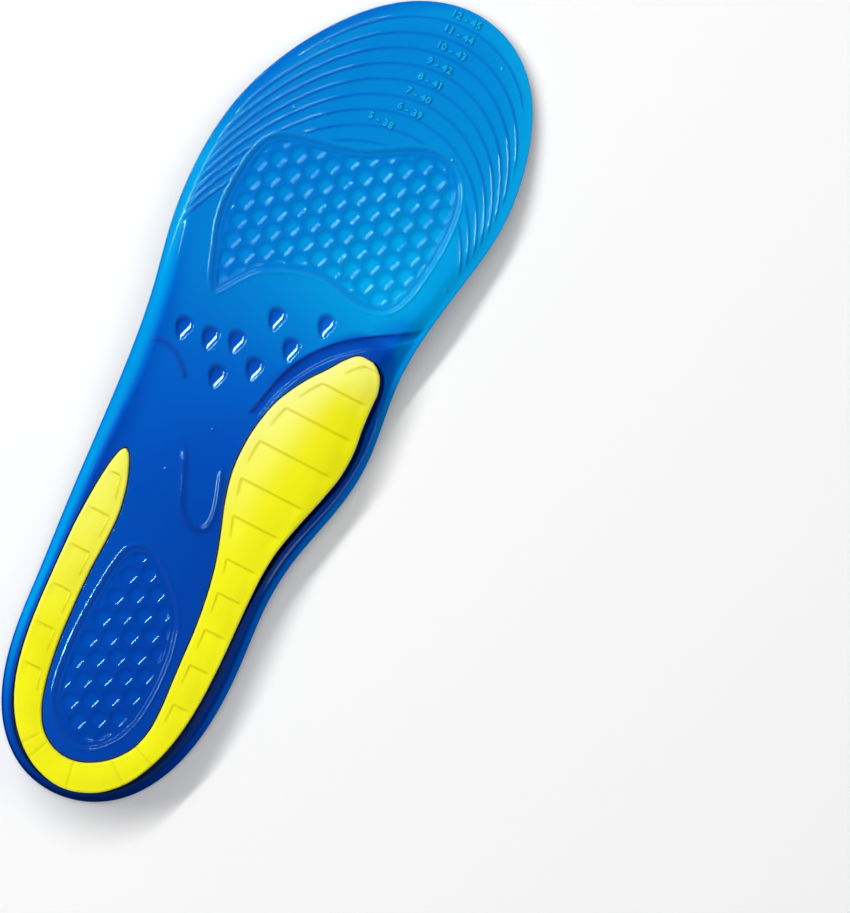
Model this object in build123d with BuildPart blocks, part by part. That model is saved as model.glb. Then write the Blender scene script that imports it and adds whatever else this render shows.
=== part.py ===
from build123d import *
import math
import os

os.makedirs("parts", exist_ok=True)

# Right-foot insole, lying with its cushioned gel side up and its fabric side down.
# +Y runs towards the toes, +X towards the inner (arch) side of the foot, +Z out of the gel side.
# The origin is at the middle of the footprint, on the surface that the heel rim rests on.

# Overall size; the outlines below are drawn for the pattern size and graded to these two values
insole_length = 300.0
insole_width = 102.5
pattern_length = 300.0
pattern_width = 102.5

# Heights, measured from the flat gel land that faces the shoe
land_height = 16.0
toe_drop = 11.8
flex_start = 5.0
heel_thickness = 6.5
forefoot_thickness = 4.2
rim_thickness = 3.2

# Rim height above the gel land at places along the foot: back, heel, waist, arch, ball, toe
rim_places = [-150.0, -95.0, -50.0, -5.0, 60.0, 100.0]
inner_rim_heights = [16.0, 15.0, 14.0, 15.0, 5.0, 3.6]
outer_rim_heights = [16.0, 14.0, 11.0, 7.5, 4.0, 3.6]

# The seat thins from its heel thickness to its forefoot thickness between these two places
seat_bend_start = -50.0
seat_bend_end = 50.0

# Width of the sloping flank on the gel side and of the cup wall on the foot side
inner_flank_widths = [3.2, 6.5, 6.5, 14.0, 6.0, 5.0]
outer_flank_widths = [3.2, 4.5, 5.5, 7.0, 6.0, 5.0]
inner_cup_widths = [16.0, 16.0, 18.0, 30.0, 16.0, 12.0]
outer_cup_widths = [16.0, 15.0, 14.0, 14.0, 12.0, 12.0]

# Layers of the laminate, from the foot inwards
cover_thickness = 0.8
foam_thickness = 1.2

# Arch and heel support, set in a recess in the gel and standing proud of it
support_recess = 2.0
support_proud = 0.8
support_gap = 0.3
window_depth = 0.5
window_margin = 1.8
window_length = 9.0
window_pitch = 14.0
outer_window_top = -44.0
outer_window_count = 6
inner_window_top = 15.0
inner_window_count = 9

# Cushion panels with round cells, and the drop-shaped dents of the midfoot
panel_depth = 0.7
cell_depth = 0.5
cell_radius = 2.4
cell_pitch = 6.8
cell_margin = 3.2
lattice_angle = 60.0
forefoot_cell_angle = -21.5
heel_cell_angle = 19.0
dent_depth = 1.0
dent_length = 7.5
dent_width = 4.6
dent_tilt = 100.0

# Places of the cross-sections along the pattern, and how far they pass the outline
section_places = [-156.0, -150.0, -146.8, -142.0, -134.0, -122.0, -108.0, -90.0, -70.0, -50.0,
                  -32.0, -16.0, 0.0, 16.0, 34.0, 52.0, 70.0, 90.0, 108.0, 124.0, 138.0, 145.0,
                  150.0, 156.0]
section_overlap = 8.0
end_inset = 0.8
least_end_share = 0.04
edge_steps = 500
opening_steps = 90
# How far the ruled surfaces pass the flat land and the resting plane, which trim them
land_trim = 0.4
blank_height = land_height + 8.0

outline_points = [
    (9.0, 150.0), (25.0, 146.5), (37.5, 136.5), (45.5, 122.0), (50.0, 105.0), (51.2, 88.0),
    (48.6, 68.0), (45.6, 50.0), (44.0, 30.0), (45.8, 12.0), (47.3, -4.0), (45.0, -23.0),
    (40.6, -42.0), (39.0, -60.0), (40.2, -78.0), (41.0, -95.0), (39.6, -112.0), (34.8, -128.0),
    (24.0, -142.5), (5.0, -150.0), (-10.0, -147.0), (-21.0, -138.0), (-29.0, -123.0),
    (-33.0, -105.0), (-34.8, -85.0), (-37.2, -58.0), (-39.2, -30.0), (-41.4, -4.0),
    (-44.6, 18.0), (-49.2, 40.0), (-51.2, 62.0), (-49.4, 84.0), (-42.2, 106.0),
    (-31.0, 125.0), (-15.0, 141.5),
]

forefoot_panel_points = [
    (-25.5, 25.0), (-32.0, 36.0), (-36.6, 50.0), (-37.0, 68.0), (-32.5, 82.0), (-20.0, 87.2),
    (-2.0, 92.2), (12.0, 100.4), (22.0, 103.0), (32.0, 97.0), (37.0, 82.0), (36.2, 62.0),
    (30.0, 45.5), (20.0, 42.8), (6.0, 45.2), (-8.0, 42.0), (-18.0, 34.5),
]

heel_panel_points = [
    (-5.0, -61.0), (3.0, -65.5), (13.0, -75.0), (18.6, -90.0), (19.6, -105.0), (17.0, -121.0),
    (5.0, -132.5), (-7.5, -127.0), (-13.6, -111.0), (-14.8, -92.0), (-13.6, -72.0),
    (-10.5, -63.0),
]

support_outer_points = [
    (-27.5, -35.0), (-30.8, -50.0), (-30.8, -75.0), (-28.6, -104.0), (-23.0, -126.0),
    (-11.5, -141.0), (4.0, -146.9), (20.0, -141.0), (30.5, -124.0), (34.3, -100.0),
    (33.6, -70.0), (33.6, -45.0), (38.0, -25.0), (41.7, -4.0), (40.0, 12.0), (36.4, 27.0),
]

support_inner_points = [
    (30.5, 29.4), (22.0, 21.5), (13.0, 8.0), (8.0, -10.0), (9.0, -30.0), (16.0, -51.0),
    (21.0, -75.0), (23.0, -100.0), (21.4, -124.0), (12.0, -134.2), (2.0, -137.2),
    (-8.0, -132.8), (-14.6, -120.0), (-18.2, -98.0), (-19.2, -70.0), (-21.0, -48.0),
]

dent_points = [
    (-29.0, 10.0), (-19.5, 11.0), (-11.0, 14.0), (-1.5, 8.5), (-11.5, 0.5), (6.5, 20.0),
    (-2.5, 27.0), (13.5, 32.5),
]


def graded(points):
    along = insole_length / pattern_length
    across = insole_width / pattern_width
    return [(x * across, y * along) for x, y in points]


def ease(share):
    share = min(max(share, 0.0), 1.0)
    return share * share * (3.0 - 2.0 * share)


def along_foot(values, y):
    places = [place * insole_length / pattern_length for place in rim_places]
    for start, end, first, last in zip(places, places[1:], values, values[1:]):
        if y < end:
            return first + (last - first) * ease((y - start) / (end - start))
    return values[-1]


with BuildSketch(Plane.XY) as outline:
    with BuildLine():
        Spline(*graded(outline_points), periodic=True)
    make_face()

with BuildSketch(Plane.XY) as forefoot_panel:
    with BuildLine():
        Spline(*graded(forefoot_panel_points), periodic=True)
    make_face()

with BuildSketch(Plane.XY) as heel_panel:
    with BuildLine():
        Spline(*graded(heel_panel_points), periodic=True)
    make_face()

with BuildSketch(Plane.XY) as support_shape:
    with BuildLine():
        Spline(*graded(support_outer_points + support_inner_points), periodic=True)
    make_face()

# Points closely spaced along a closed shape's edge
def edge_points(shape):
    edge = shape.edges()[0]
    return [edge.position_at(step / edge_steps) for step in range(edge_steps)]


# Where the line across the foot at y meets a shape's edge, from the outer side inwards
def crossings_at(points, y):
    crossings = []
    for first, last in zip(points, points[1:] + points[:1]):
        if (first.Y > y) != (last.Y > y):
            crossings.append(first.X + (y - first.Y) / (last.Y - first.Y) * (last.X - first.X))
    return sorted(crossings)


outline_edge = edge_points(outline)
support_edge = edge_points(support_shape)


def outline_edges_at(y):
    end = insole_length / 2.0 - end_inset
    crossings = crossings_at(outline_edge, min(max(y, -end), end))
    return crossings[0], crossings[-1]


# Share of a slope's full height that is left at y, falling almost to nothing at the two ends
def end_share(y, slope_width):
    return min(max((insole_length / 2.0 - abs(y)) / slope_width, least_end_share), 1.0)


def land_at(y):
    return land_height - toe_drop * ease((y - flex_start) / (insole_length / 2.0 - flex_start))


# A cross-section of one curved side: two edges, two slopes and the level between them
def section_points(y, level, outer_rim, inner_rim, outer_slope, inner_slope):
    outer_edge, inner_edge = outline_edges_at(y)
    middle = (outer_edge + inner_edge) / 2.0
    end_rim = (outer_rim + inner_rim) / 2.0
    top = end_rim + (level - end_rim) * end_share(y, (outer_slope + inner_slope) / 2.0)
    outer_foot = min(outer_edge + outer_slope, middle - end_inset)
    inner_foot = max(inner_edge - inner_slope, middle + end_inset)
    reach = insole_width / 2.0 + section_overlap
    return [(-reach, outer_rim), (outer_edge, outer_rim), (outer_foot, top),
            (inner_foot, top), (inner_edge, inner_rim), (reach, inner_rim)]


def gel_side_section(y):
    outer_rim = land_at(y) - along_foot(outer_rim_heights, y) + rim_thickness
    inner_rim = land_at(y) - along_foot(inner_rim_heights, y) + rim_thickness
    outer_slope = along_foot(outer_flank_widths, y)
    inner_slope = along_foot(inner_flank_widths, y)
    return section_points(y, land_at(y) + land_trim, outer_rim, inner_rim, outer_slope, inner_slope)


def foot_side_section(y):
    outer_rim = land_at(y) - along_foot(outer_rim_heights, y) - land_trim
    inner_rim = land_at(y) - along_foot(inner_rim_heights, y) - land_trim
    outer_slope = along_foot(outer_cup_widths, y)
    inner_slope = along_foot(inner_cup_widths, y)
    bend = ease((y - seat_bend_start) / (seat_bend_end - seat_bend_start))
    seat = land_at(y) - heel_thickness - (forefoot_thickness - heel_thickness) * bend
    return section_points(y, seat, outer_rim, inner_rim, outer_slope, inner_slope)


def ruled_block(section_at, base_height):
    with BuildPart() as block:
        for place in section_places:
            y = place * insole_length / pattern_length
            points = section_at(y)
            first_corner = (points[0][0], base_height)
            last_corner = (points[-1][0], base_height)
            with BuildSketch(Plane.XZ.offset(-y)):
                with BuildLine():
                    Polyline(*points, last_corner, first_corner, close=True)
                make_face()
        loft(ruled=True)
    return block.part


above_gel_side = ruled_block(gel_side_section, blank_height)
below_foot_side = ruled_block(foot_side_section, -blank_height)


# Everything under the gel side, moved up or down by a rise: a flat land with curved flanks
def under_gel_side(rise):
    end = insole_length / 2.0
    bend_third = (end - flex_start) / 3.0
    toe_height = land_height - toe_drop
    with BuildPart() as block:
        with BuildSketch(Plane.YZ.offset(-insole_width)):
            with BuildLine():
                Line((-end - section_overlap, land_height + rise), (flex_start, land_height + rise))
                Bezier((flex_start, land_height + rise), (flex_start + bend_third, land_height + rise),
                       (end - bend_third, toe_height + rise), (end, toe_height + rise))
                Polyline((end, toe_height + rise), (end + section_overlap, toe_height + rise),
                         (end + section_overlap, -blank_height),
                         (-end - section_overlap, -blank_height),
                         (-end - section_overlap, land_height + rise))
            make_face()
        extrude(amount=2.0 * insole_width)
        add(above_gel_side.moved(Location((0, 0, rise))), mode=Mode.SUBTRACT)
    return block.part


def below_foot(rise):
    return below_foot_side.moved(Location((0, 0, rise)))


def pocket(shape, depth):
    with BuildPart() as tool:
        with BuildSketch(Plane.XY):
            add(shape)
        extrude(amount=blank_height)
        add(under_gel_side(-depth), mode=Mode.SUBTRACT)
    return tool.part


with BuildPart() as top_cover:
    with BuildSketch(Plane.XY):
        add(outline.sketch)
    extrude(amount=blank_height)
    add(below_foot(0.0), mode=Mode.SUBTRACT)
    add(below_foot(cover_thickness), mode=Mode.INTERSECT)
top_cover.part.label = "top_cover"
export_step(top_cover.part, "parts/top_cover.step")

with BuildPart() as foam_backing:
    with BuildSketch(Plane.XY):
        add(outline.sketch)
    extrude(amount=blank_height)
    add(below_foot(cover_thickness), mode=Mode.SUBTRACT)
    add(below_foot(cover_thickness + foam_thickness), mode=Mode.INTERSECT)
foam_backing.part.label = "foam_backing"
export_step(foam_backing.part, "parts/foam_backing.step")

# Windows across the two arms: a crossing's first two points are the outer arm's, its last two the inner's
outer_arm = slice(0, 2)
inner_arm = slice(-2, None)
with BuildSketch(Plane.XY) as windows:
    for arm, first_top, count in ((outer_arm, outer_window_top, outer_window_count),
                                  (inner_arm, inner_window_top, inner_window_count)):
        for window in range(count):
            top = first_top * insole_length / pattern_length - window * window_pitch
            bottom = top - window_length
            top_left, top_right = crossings_at(support_edge, top)[arm]
            bottom_left, bottom_right = crossings_at(support_edge, bottom)[arm]
            with BuildLine():
                Polyline((top_left + window_margin, top), (top_right - window_margin, top),
                         (bottom_right - window_margin, bottom),
                         (bottom_left + window_margin, bottom), close=True)
            make_face()

with BuildPart() as window_pockets:
    with BuildSketch(Plane.XY):
        add(windows.sketch)
    extrude(amount=blank_height)
    add(under_gel_side(support_proud - window_depth), mode=Mode.SUBTRACT)

with BuildPart() as arch_heel_support:
    with BuildSketch(Plane.XY):
        add(support_shape.sketch)
    extrude(amount=blank_height)
    add(under_gel_side(support_proud), mode=Mode.INTERSECT)
    add(under_gel_side(-support_recess), mode=Mode.SUBTRACT)
    add(window_pockets.part, mode=Mode.SUBTRACT)
arch_heel_support.part.label = "arch_heel_support"
export_step(arch_heel_support.part, "parts/arch_heel_support.step")


# Cell centres on a triangular lattice, kept where a whole cell fits inside the panel
def cell_centres(panel, row_angle):
    centre = panel.sketch.center()
    edge = panel.edges()[0]
    along_row = Vector(cell_pitch, 0, 0).rotate(Axis.Z, row_angle)
    next_row = Vector(cell_pitch, 0, 0).rotate(Axis.Z, row_angle + lattice_angle)
    reach = math.ceil(insole_width / cell_pitch)
    centres = []
    for row in range(-reach, reach + 1):
        for place in range(-reach, reach + 1):
            point = centre + along_row * place + next_row * row
            if panel.faces()[0].is_inside(point) and edge.distance_to(point) > cell_margin:
                centres.append(point)
    return centres


with BuildSketch(Plane.XY) as cells:
    with Locations(*cell_centres(forefoot_panel, forefoot_cell_angle)):
        Circle(cell_radius)
    with Locations(*cell_centres(heel_panel, heel_cell_angle)):
        Circle(cell_radius)

with BuildSketch(Plane.XY) as dents:
    with Locations(*graded(dent_points)):
        Ellipse(dent_length / 2.0, dent_width / 2.0, rotation=dent_tilt)

# The recess follows the support's edge, a gap further out all round
support_opening_points = []
for step in range(opening_steps):
    place = step / opening_steps
    direction = support_shape.edges()[0].tangent_at(place)
    outward = Vector(direction.Y, -direction.X, 0.0)
    support_opening_points.append(support_shape.edges()[0].position_at(place) + outward * support_gap)
with BuildSketch(Plane.XY) as support_opening:
    with BuildLine():
        Spline(*support_opening_points, periodic=True)
    make_face()

with BuildPart() as gel_body:
    with BuildSketch(Plane.XY):
        add(outline.sketch)
    extrude(amount=blank_height)
    add(under_gel_side(0.0), mode=Mode.INTERSECT)
    add(below_foot(cover_thickness + foam_thickness), mode=Mode.SUBTRACT)
    add(pocket(support_opening.sketch, support_recess), mode=Mode.SUBTRACT)
    add(pocket(forefoot_panel.sketch, panel_depth), mode=Mode.SUBTRACT)
    add(pocket(heel_panel.sketch, panel_depth), mode=Mode.SUBTRACT)
    add(pocket(dents.sketch, dent_depth), mode=Mode.SUBTRACT)
    add(pocket(cells.sketch, panel_depth + cell_depth), clean=False, mode=Mode.SUBTRACT)
gel_body.part.label = "gel_body"
export_step(gel_body.part, "parts/gel_body.step")
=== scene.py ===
import bpy
import math
import numpy as np
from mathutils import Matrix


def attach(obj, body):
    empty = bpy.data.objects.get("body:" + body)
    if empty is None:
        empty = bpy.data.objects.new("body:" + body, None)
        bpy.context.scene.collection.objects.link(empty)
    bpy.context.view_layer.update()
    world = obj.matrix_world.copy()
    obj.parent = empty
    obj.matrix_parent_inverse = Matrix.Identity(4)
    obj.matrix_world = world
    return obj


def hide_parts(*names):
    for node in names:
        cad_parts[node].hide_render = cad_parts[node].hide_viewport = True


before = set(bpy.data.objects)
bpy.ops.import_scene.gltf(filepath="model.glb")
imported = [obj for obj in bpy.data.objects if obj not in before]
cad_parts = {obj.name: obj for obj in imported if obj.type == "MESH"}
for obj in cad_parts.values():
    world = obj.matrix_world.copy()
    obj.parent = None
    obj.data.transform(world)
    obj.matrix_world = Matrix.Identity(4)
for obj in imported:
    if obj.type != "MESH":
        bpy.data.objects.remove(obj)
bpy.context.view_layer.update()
millimetre = 0.001

# The pieces are given in millimetres, +y towards the toes, +x towards the inner side of the foot.
# The floor's size, the lights and the camera are in metres
insole = {
    "length": 300.0, "width": 102.5,
    "outline": [
        (9.0, 150.0), (25.0, 146.5), (37.5, 136.5), (45.5, 122.0), (50.0, 105.0), (51.2, 88.0),
        (48.6, 68.0), (45.6, 50.0), (44.0, 30.0), (45.8, 12.0), (47.3, -4.0), (45.0, -23.0),
        (40.6, -42.0), (39.0, -60.0), (40.2, -78.0), (41.0, -95.0), (39.6, -112.0), (34.8, -128.0),
        (24.0, -142.5), (5.0, -150.0), (-10.0, -147.0), (-21.0, -138.0), (-29.0, -123.0),
        (-33.0, -105.0), (-34.8, -85.0), (-37.2, -58.0), (-39.2, -30.0), (-41.4, -4.0),
        (-44.6, 18.0), (-49.2, 40.0), (-51.2, 62.0), (-49.4, 84.0), (-42.2, 106.0),
        (-31.0, 125.0), (-15.0, 141.5)],
    "landHeight": 16.0, "toeDrop": 11.8, "flexStart": 5.0,
    "heelThickness": 6.5, "forefootThickness": 4.2, "rimThickness": 3.2, "seatBend": (-50.0, 50.0),
    "rimPlaces": [-150.0, -95.0, -50.0, -5.0, 60.0, 100.0],
    "innerRims": [16.0, 15.0, 14.0, 15.0, 5.0, 3.6], "outerRims": [16.0, 14.0, 11.0, 7.5, 4.0, 3.6],
    "innerFlanks": [3.2, 6.5, 6.5, 14.0, 6.0, 5.0], "outerFlanks": [3.2, 4.5, 5.5, 7.0, 6.0, 5.0],
    "innerCups": [16.0, 16.0, 18.0, 30.0, 16.0, 12.0],
    "outerCups": [16.0, 15.0, 14.0, 14.0, 12.0, 12.0],
    "sideMix": 1.6, "coverThickness": 0.8, "foamThickness": 1.2,
    # how much the grids' columns crowd at the edge, and the share of rows that crowd at each end
    "edgeCrowding": 0.35, "endCrowding": 0.07, "shadeAngle": 50.0, "mergeGap": 0.002}


def colour(code):  # sRGB hex to the linear colour a shader takes
    parts = [int(code[i:i + 2], 16) / 255 for i in (1, 3, 5)]
    return tuple(c / 12.92 if c <= 0.04045 else ((c + 0.055) / 1.055) ** 2.4 for c in parts) + (1.0,)


def addNode(tree, kind, links=None, **settings):
    node = tree.nodes.new(kind)
    for name, value in settings.items():
        setattr(node, name, value)
    for socket, value in (links or {}).items():
        if isinstance(value, bpy.types.NodeSocket):
            tree.links.new(value, node.inputs[socket])
        else:
            node.inputs[socket].default_value = value
    return node


def newMaterial(name, **values):
    material = bpy.data.materials.new(name)
    material.use_nodes = True
    tree = material.node_tree
    shader = tree.nodes["Principled BSDF"]
    for socket, value in values.items():
        shader.inputs[socket.replace("_", " ")].default_value = value
    return material, tree, shader


def fillRamp(node, stops):
    ramp = node.color_ramp
    while len(ramp.elements) > 1:
        ramp.elements.remove(ramp.elements[-1])
    ramp.elements[0].position, ramp.elements[0].color = stops[0][0], colour(stops[0][1])
    for place, code in stops[1:]:
        ramp.elements.new(place).color = colour(code)


def ease(share):
    share = np.clip(share, 0.0, 1.0)
    return share * share * (3.0 - 2.0 * share)


def smoothLine(points, spacing, closed=False):  # a cubic spline through the points, at even steps
    points = np.array(points, float)
    count = len(points)
    after = (np.arange(count) + 1) % count
    gaps = np.linalg.norm(points[after] - points, axis=1)
    slopes = (points[after] - points) / gaps[:, None]
    system, pull = np.zeros((count, count)), np.zeros((count, 2))
    for i in range(count):
        if closed or 0 < i < count - 1:
            system[i, i - 1] += gaps[i - 1]
            system[i, i] += 2.0 * (gaps[i - 1] + gaps[i])
            system[i, after[i]] += gaps[i]
            pull[i] = 6.0 * (slopes[i] - slopes[i - 1])
        else:
            system[i, i] = 1.0
    bends = np.linalg.solve(system, pull)
    knots = np.concatenate([[0.0], np.cumsum(gaps if closed else gaps[:-1])])
    steps = int(round(knots[-1] / spacing))
    places = np.linspace(0.0, knots[-1], steps + 1)[:steps if closed else steps + 1]
    i = np.clip(np.searchsorted(knots, places, side="right") - 1, 0, len(knots) - 2)
    j, run, far = after[i], gaps[i][:, None], (places - knots[i])[:, None]
    near = run - far
    return ((bends[i] * near ** 3 + bends[j] * far ** 3) / (6.0 * run)
            + (points[i] / run - bends[i] * run / 6.0) * near
            + (points[j] / run - bends[j] * run / 6.0) * far)


def cubicThrough(values, places):  # a smooth curve through numbers given one step apart
    padded = np.concatenate([[2 * values[0] - values[1]], values, [2 * values[-1] - values[-2]]])
    i = np.clip(places.astype(int), 0, len(values) - 2)
    t = places - i
    a, b, c, d = (padded[i + k] for k in range(4))
    return b + 0.5 * t * (c - a + t * (2 * a - 5 * b + 4 * c - d + t * (3 * (b - c) + d - a)))


def depthInside(curve, x, y):  # distance to a closed line, positive inside it
    nearest, inside = np.full(x.shape, 1e9), np.zeros(x.shape, bool)
    for (ax, ay), (bx, by) in zip(curve, np.roll(curve, -1, 0)):
        dx, dy = bx - ax, by - ay
        share = np.clip(((x - ax) * dx + (y - ay) * dy) / (dx * dx + dy * dy), 0.0, 1.0)
        nearest = np.minimum(nearest, (x - ax - share * dx) ** 2 + (y - ay - share * dy) ** 2)
        if ay != by:
            inside ^= ((ay > y) != (by > y)) & (x < ax + (y - ay) / (by - ay) * dx)
    return np.where(inside, 1.0, -1.0) * np.sqrt(nearest)


def nearLine(line, x, y, reach):  # distance to an open line and the share of its length there, if near
    gap, share = np.full(x.shape, 1e3), np.zeros(x.shape)
    low, high = line.min(0) - reach, line.max(0) + reach
    near = np.flatnonzero((x > low[0]) & (x < high[0]) & (y > low[1]) & (y < high[1]))
    px, py = x[near], y[near]
    best, where = np.full(len(near), 1e6), np.zeros(len(near))
    for k in range(len(line) - 1):
        (ax, ay), (bx, by) = line[k], line[k + 1]
        dx, dy = bx - ax, by - ay
        along = np.clip(((px - ax) * dx + (py - ay) * dy) / (dx * dx + dy * dy), 0.0, 1.0)
        square = (px - ax - along * dx) ** 2 + (py - ay - along * dy) ** 2
        closer = square < best
        best[closer], where[closer] = square[closer], ((k + along) / (len(line) - 1))[closer]
    gap[near], share[near] = np.sqrt(best), where
    return gap, share


def bump(gap, width):  # a rounded bump, 1 high, where gap is 0
    return np.exp(-(gap / width) ** 2)


def ridge(line, x, y, width):  # a rounded rib along a line, fading out at its two ends
    fade = 0.12  # share of the line's length
    gap, share = nearLine(line, x, y, 4.0 * width)
    return bump(gap, width) * ease(share / fade) * ease((1.0 - share) / fade)


def alongFoot(values, y):  # numbers given at rimPlaces, eased from one to the next
    result = np.full(y.shape, float(values[-1]))
    places = insole["rimPlaces"]
    for k in reversed(range(len(places) - 1)):
        rise = values[k] + (values[k + 1] - values[k]) * ease((y - places[k]) / (places[k + 1] - places[k]))
        result = np.where(y < places[k + 1], rise, result)
    return result


def mixSides(values, name, x, y):  # numbers that differ between inner and outer side, mixed across
    side = ease(0.5 + insole["sideMix"] * x / insole["width"])
    outer, inner = alongFoot(values["outer" + name], y), alongFoot(values["inner" + name], y)
    return outer * (1.0 - side) + inner * side


def landAt(y):  # height of the level gel: flat at the heel, then falling away to the toe
    bend = (y - insole["flexStart"]) / (insole["length"] / 2.0 - insole["flexStart"])
    return insole["landHeight"] - insole["toeDrop"] * ease(bend)


def footSide(x, y, inset):  # the textile side: a thin level seat whose cup wall runs down to the rim
    start, end = insole["seatBend"]
    thinning = insole["forefootThickness"] - insole["heelThickness"]
    seat = insole["heelThickness"] + thinning * ease((y - start) / (end - start))
    rim, cup = mixSides(insole, "Rims", x, y), mixSides(insole, "Cups", x, y)
    return np.maximum(landAt(y) - seat - (rim - seat) * (1.0 - ease(inset / cup)), 0.0)


def gelLand(x, y, inset):  # the gel side before its details: a level land with sloping flanks
    rim, flank = mixSides(insole, "Rims", x, y), mixSides(insole, "Flanks", x, y)
    slope = 1.0 - ease((inset - gelBody["lip"]) / (flank - gelBody["lip"]))
    return landAt(y) - (rim - insole["rimThickness"]) * slope


outline = smoothLine(insole["outline"], 1.0, closed=True)
rowTable = smoothLine(insole["outline"], 0.1, closed=True)
tip, heel = rowTable[np.argmax(rowTable[:, 1])], rowTable[np.argmin(rowTable[:, 1])]
isInner = rowTable[:, 0] > np.interp(rowTable[:, 1], [heel[1], tip[1]], [heel[0], tip[0]])
innerEdge, outerEdge = (edge[np.argsort(edge[:, 1])] for edge in (rowTable[isInner], rowTable[~isInner]))


def deselectAll():
    if bpy.context.object and bpy.context.object.mode != "OBJECT":
        bpy.ops.object.mode_set(mode="OBJECT")
    bpy.ops.object.select_all(action="DESELECT")


def readPoints(piece):
    points = np.zeros(len(piece.data.vertices) * 3)
    piece.data.vertices.foreach_get("co", points)
    return points.reshape(-1, 3)


def writePoints(piece, points):
    piece.data.vertices.foreach_set("co", np.ascontiguousarray(points, float).ravel())
    piece.data.update()


def setAttribute(piece, name, values):
    attribute = piece.data.attributes.new(name, "FLOAT", "POINT")
    attribute.data.foreach_set("value", values.astype(np.float32))


def newGrid(name, columns, rows, crowding):  # a unit grid whose columns crowd together at its two sides
    deselectAll()
    bpy.ops.mesh.primitive_grid_add(x_subdivisions=columns, y_subdivisions=rows, size=1.0)
    piece = bpy.context.object
    piece.name = name
    points = readPoints(piece)
    across, along = points[:, 0] + 0.5, points[:, 1] + 0.5
    onSide = (across < 1e-6) | (across > 1.0 - 1e-6)
    across = across - crowding * np.sin(2.0 * math.pi * across) / (2.0 * math.pi)
    return piece, across, along, onSide


def footGrid(name, columns, rows):  # a grid pulled out to the insole's outline, with finer cells at its edge
    piece, across, along, onSide = newGrid(name, columns, rows, insole["edgeCrowding"])
    end = insole["endCrowding"]
    fromEnd = np.minimum(along, 1.0 - along)
    place = np.where(fromEnd < end, fromEnd ** 2 / (2.0 * end), fromEnd - end / 2.0) / (1.0 - end)
    place = np.where(along < 0.5, place, 1.0 - place)
    y = heel[1] + (tip[1] - heel[1]) * place
    left = np.interp(y, outerEdge[:, 1], outerEdge[:, 0])
    right = np.interp(y, innerEdge[:, 1], innerEdge[:, 0])
    x = left + (right - left) * across
    ends = (along < 1e-6) | (along > 1.0 - 1e-6)
    x = np.where(ends, np.where(along < 0.5, heel[0], tip[0]), x)
    inset = np.where(onSide | ends, 0.0, np.maximum(depthInside(outline, x, y), 0.0))
    return piece, x, y, inset


def closeUp(piece, rise):  # gives a sheet its even thickness and closes it all round
    deselectAll()
    piece.select_set(True)
    bpy.context.view_layer.objects.active = piece
    bpy.ops.object.mode_set(mode="EDIT")
    bpy.ops.mesh.select_all(action="SELECT")
    bpy.ops.mesh.extrude_region_move(TRANSFORM_OT_translate={"value": (0.0, 0.0, rise)})
    bpy.ops.mesh.select_all(action="SELECT")
    bpy.ops.mesh.remove_doubles(threshold=insole["mergeGap"] * millimetre)
    bpy.ops.mesh.normals_make_consistent(inside=False)
    bpy.ops.object.mode_set(mode="OBJECT")


def smoothShade(piece):
    deselectAll()
    piece.select_set(True)
    bpy.context.view_layer.objects.active = piece
    bpy.ops.object.shade_smooth_by_angle(angle=math.radians(insole["shadeAngle"]))


def finishPiece(piece, material, node):
    piece.data.materials.clear()
    piece.data.materials.append(material)
    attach(piece, "root")
    if node:
        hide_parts(node)


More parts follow.
